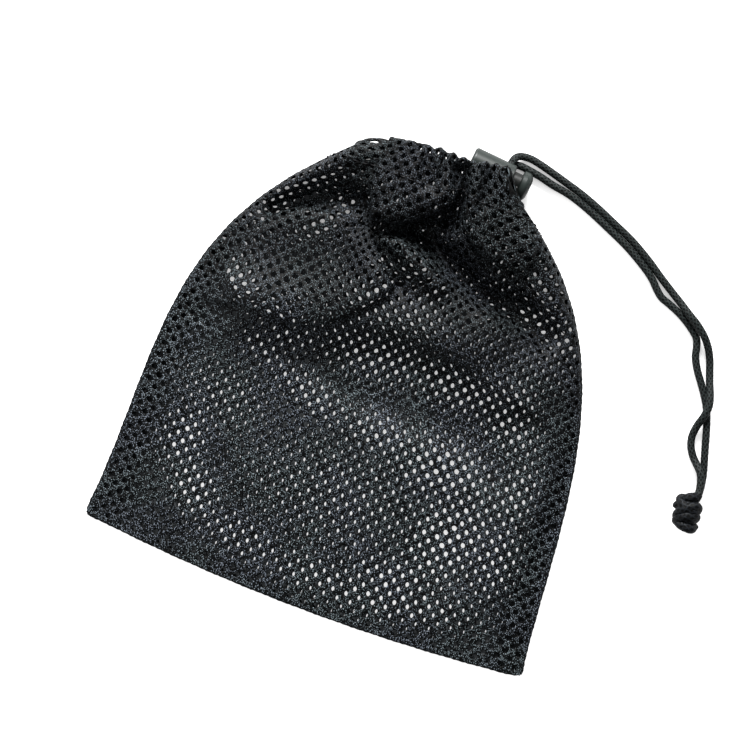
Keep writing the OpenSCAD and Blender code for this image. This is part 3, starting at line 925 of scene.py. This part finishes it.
def cloth_cells(layer, first_row, last_row):
    """Centres of the diamond cells of the cloth: those with a hole, and the whole ones along the edges."""
    odd = 1 if layer else 0
    holed, plain = [], []
    for j in range(first_row, last_row + 1):
        for i in range(-SIDE_CELLS, SIDE_CELLS + 1):
            if (i + j) % 2 != odd or (layer == 0.5 and not FOLDED_IN[0] < PITCH * i < FOLDED_IN[1]):
                continue
            edge_gap = half_width(PITCH * j) * SIDE_CELLS * PITCH * 2 / WIDTH - abs(PITCH * i)
            whole = edge_gap > 0.6 * PITCH and 0 < j < ROWS
            if edge_gap > -0.9 * PITCH:
                (holed if whole else plain).append((PITCH * i, PITCH * j))
    if layer == 1 and last_row == ROWS:
        at = shape(*np.array(holed).T, layer)
        past = np.array(holed)[:, 1] > TALL + 4
        out = past & (np.hypot(at[:, 0] - EXIT[0], at[:, 1] - EXIT[1]) < GAP_R)
        holed = [c for c, gone in zip(holed, out) if not gone]
    return np.array(holed), plain


def perforated(name, layer, first_row, last_row, offset=0.0):
    """The mesh cloth between two rows of holes, with every hole cut."""
    centres, solid = cloth_cells(layer, first_row, last_row)
    flat, lift, faces = [], [], []
    index = {}

    def shared(p, top):
        key = (round(p[0] * 100), round(p[1] * 100), top)
        if key not in index:
            index[key] = len(flat)
            flat.append(p)
            lift.append(CLOTH_LIFT if top else -CLOTH_LIFT)
        return index[key]

    def own(p, height):
        flat.append(p)
        lift.append(height)
        return len(flat) - 1

    inner = set()
    for c in centres:
        rim_top = [own(c + HOLE_R * q, RIM_LIFT) for q in RIM]
        rim_low = [own(c + HOLE_R * q, -RIM_LIFT) for q in RIM]
        crest = [own(c + 0.55 * HOLE_R * q + 0.45 * e, CREST_LIFT) for q, e in zip(RIM, BORDER)]
        top = [shared(c + e, True) for e in BORDER]
        low = [shared(c + e, False) for e in BORDER]
        for k in range(CORNERS):
            n = (k + 1) % CORNERS
            inner.update((len(faces), len(faces) + 1))
            faces.append((rim_top[k], crest[k], crest[n], rim_top[n]))
            faces.append((crest[k], top[k], top[n], crest[n]))
            faces.append((rim_low[n], low[n], low[k], rim_low[k]))
            faces.append((rim_low[k], rim_top[k], rim_top[n], rim_low[n]))
    reach_a, reach_b = PITCH * SIDE_CELLS + 0.01, PITCH * ROWS + 0.01
    for c in solid:
        c = np.array(c)
        ring = [c + e for e in BORDER if abs(c[0] + e[0]) <= reach_a and -0.01 <= c[1] + e[1] <= reach_b]
        if len(ring) < 2:
            continue
        around = sorted(ring, key=lambda p: math.atan2(p[1] - c[1], p[0] - c[0]))
        angles = [math.atan2(p[1] - c[1], p[0] - c[0]) for p in around]
        gaps = [(q - p) % (2 * math.pi) for p, q in zip(angles, angles[1:] + angles[:1])]
        cut = int(np.argmax(gaps)) + 1
        around = around[cut:] + around[:cut]
        middle_top, middle_low = shared(c, True), shared(c, False)
        for p, q in zip(around, around[1:]):
            faces.append((middle_top, shared(p, True), shared(q, True)))
            faces.append((middle_low, shared(q, False), shared(p, False)))
    flat = np.array(flat)
    moved = flat + [offset, 0]
    limit = half_width(moved[:, 1])
    moved[:, 0] = np.clip(moved[:, 0] * WIDTH / 2 / (PITCH * SIDE_CELLS), -limit, limit)
    cloth = mesh(name, place_cloth(moved, layer, lift), faces, CLOTH, "bag", flat)
    if layer == 0:
        # The back cloth's holed cells take the inner material, with its painted light from below
        cloth.data.materials.append(INNER)
        looks = [int(f in inner) for f in range(len(cloth.data.polygons))]
        cloth.data.polygons.foreach_set("material_index", looks)
    return cloth


front = perforated("front_cloth", 1, 0, SPLIT)
front_ruffle = perforated("front_ruffle", 1, SPLIT + 1, ROWS)
back = perforated("back_cloth", 0, 0, SPLIT)
back_ruffle = perforated("back_ruffle", 0, SPLIT + 1, ROWS)
folded_in = perforated("folded_in", 0.5, SPLIT - 8, ROWS - 3, 1.5)
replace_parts(front, "front_panel")
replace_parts(front_ruffle, "front_casing")
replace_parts(back, "back_panel")
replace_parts(back_ruffle, "back_casing")


# ---------------------------------------------------------------- seams, stitches and lock

# Height of the seam's middle in mm, radii of the casing's thread and the bar tacks', and where the tacks sit
SEAM_Z = 0.85
THREAD_R, TACK_R = 0.2, 0.17
TACK_HEIGHT, TACK_LOW, TACK_STEP, TACK_ASIDE = 11.1, 3.6, 0.9, 3.6
# The line of stitches that holds the hem, and how far it reaches on either side
STITCHED = TALL - HEM + 2
REACH = float(half_width(STITCHED)) - 3
# Cord lock: end of the barrel on its axis in mm and the axis, from the closed end to the plunger's head
LOCK = np.array([1.5, 185.0, 6.4])
LOCK_ALONG = np.array([math.cos(math.radians(5)), -math.sin(math.radians(5)), 0])
LOCK_ACROSS = np.array([-LOCK_ALONG[1], LOCK_ALONG[0], 0])
LOCK_UP = np.array([0, 0, 1])
# Spring: radius, wire, turns, and where it starts and ends along the lock
SPRING_R, WIRE_R, SPRING_TURNS, SPRING_FROM, SPRING_TO = 3.2, 0.25, 5, 1.8, 7.75


def edge_line():
    """The back cloth's edge, from the left of the mouth round the bottom to the right of the mouth."""
    half = WIDTH / 2
    side = np.linspace(TALL, 1, 120)
    bottom = np.linspace(-half + 1, half - 1, 90)
    a = np.concatenate([-half_width(side), bottom, half_width(side[::-1])])
    b = np.concatenate([side, np.zeros(90), side[::-1]])
    line = shape(a, b, 0)
    line[:, 2] = SEAM_Z
    return smooth_line(line[::3], 1.2)


def edge_radius(s, a):
    """Radius of the rolled edge: the overlock stitches wind round it."""
    return 0.75 + 0.12 * np.sin(2 * math.pi * s / 3.1) + 0.06 * np.sin(2 * math.pi * s / 1.3 + a)


seam_roll = add_tubes("seam_roll", [tube(edge_line(), edge_radius, 10)], SEAM)


def stitches(name, replaced, layer, run=2.4, gap=1.2):
    """Straight running stitches along the casing's seam."""
    parts = []
    at = -REACH
    while at + run < REACH:
        a = np.linspace(at, at + run, 5)
        places = np.stack([a, np.full_like(a, STITCHED)], axis=1)
        lift = np.array([0.1, 0.42, 0.5, 0.42, 0.1])
        parts.append(tube(place_cloth(places, layer, lift), THREAD_R, 6))
        at += run + gap
    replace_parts(add_tubes(name, parts, THREAD), replaced)


stitches("front_stitches", "front_casing_thread", 1)
stitches("back_stitches", "back_casing_thread", 0)

tacks = []
for side in (-1, 1):
    for k in range(7):
        x, y = EXIT[0] + TACK_ASIDE * side, EXIT[1] - TACK_LOW + TACK_STEP * k
        ring = [
            (x + 0.9 * math.cos(t), y + 0.12 * math.sin(2 * t), TACK_HEIGHT + 0.5 * math.sin(t))
            for t in np.linspace(0, 2 * math.pi, 13)
        ]
        tacks.append(tube(smooth_line(ring, 0.25), TACK_R, 6))
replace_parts(add_tubes("bartacks", tacks, THREAD), "exit_bartacks")

coil = []
for rise in np.linspace(0, 1, 121):
    t = 2 * math.pi * SPRING_TURNS * rise
    along = SPRING_FROM + (SPRING_TO - SPRING_FROM) * rise
    across, up = SPRING_R * math.cos(t), SPRING_R * math.sin(t)
    coil.append(LOCK + along * LOCK_ALONG + across * LOCK_ACROSS + up * LOCK_UP)
spring = add_tubes("spring", [tube(np.array(coil), WIRE_R, 8)], STEEL, "lock")
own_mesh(spring)
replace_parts(spring, "lock_spring")

# CAD nodes that are shown as they are
for name, look in (
    ("bottom_seam_thread", THREAD), ("left_seam_thread", THREAD), ("right_seam_thread", THREAD),
    ("lock_barrel", PLASTIC), ("lock_plunger", PLASTIC), ("drawcord_loop", LOOP),
):
    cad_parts[name].data.materials.clear()
    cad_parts[name].data.materials.append(look)
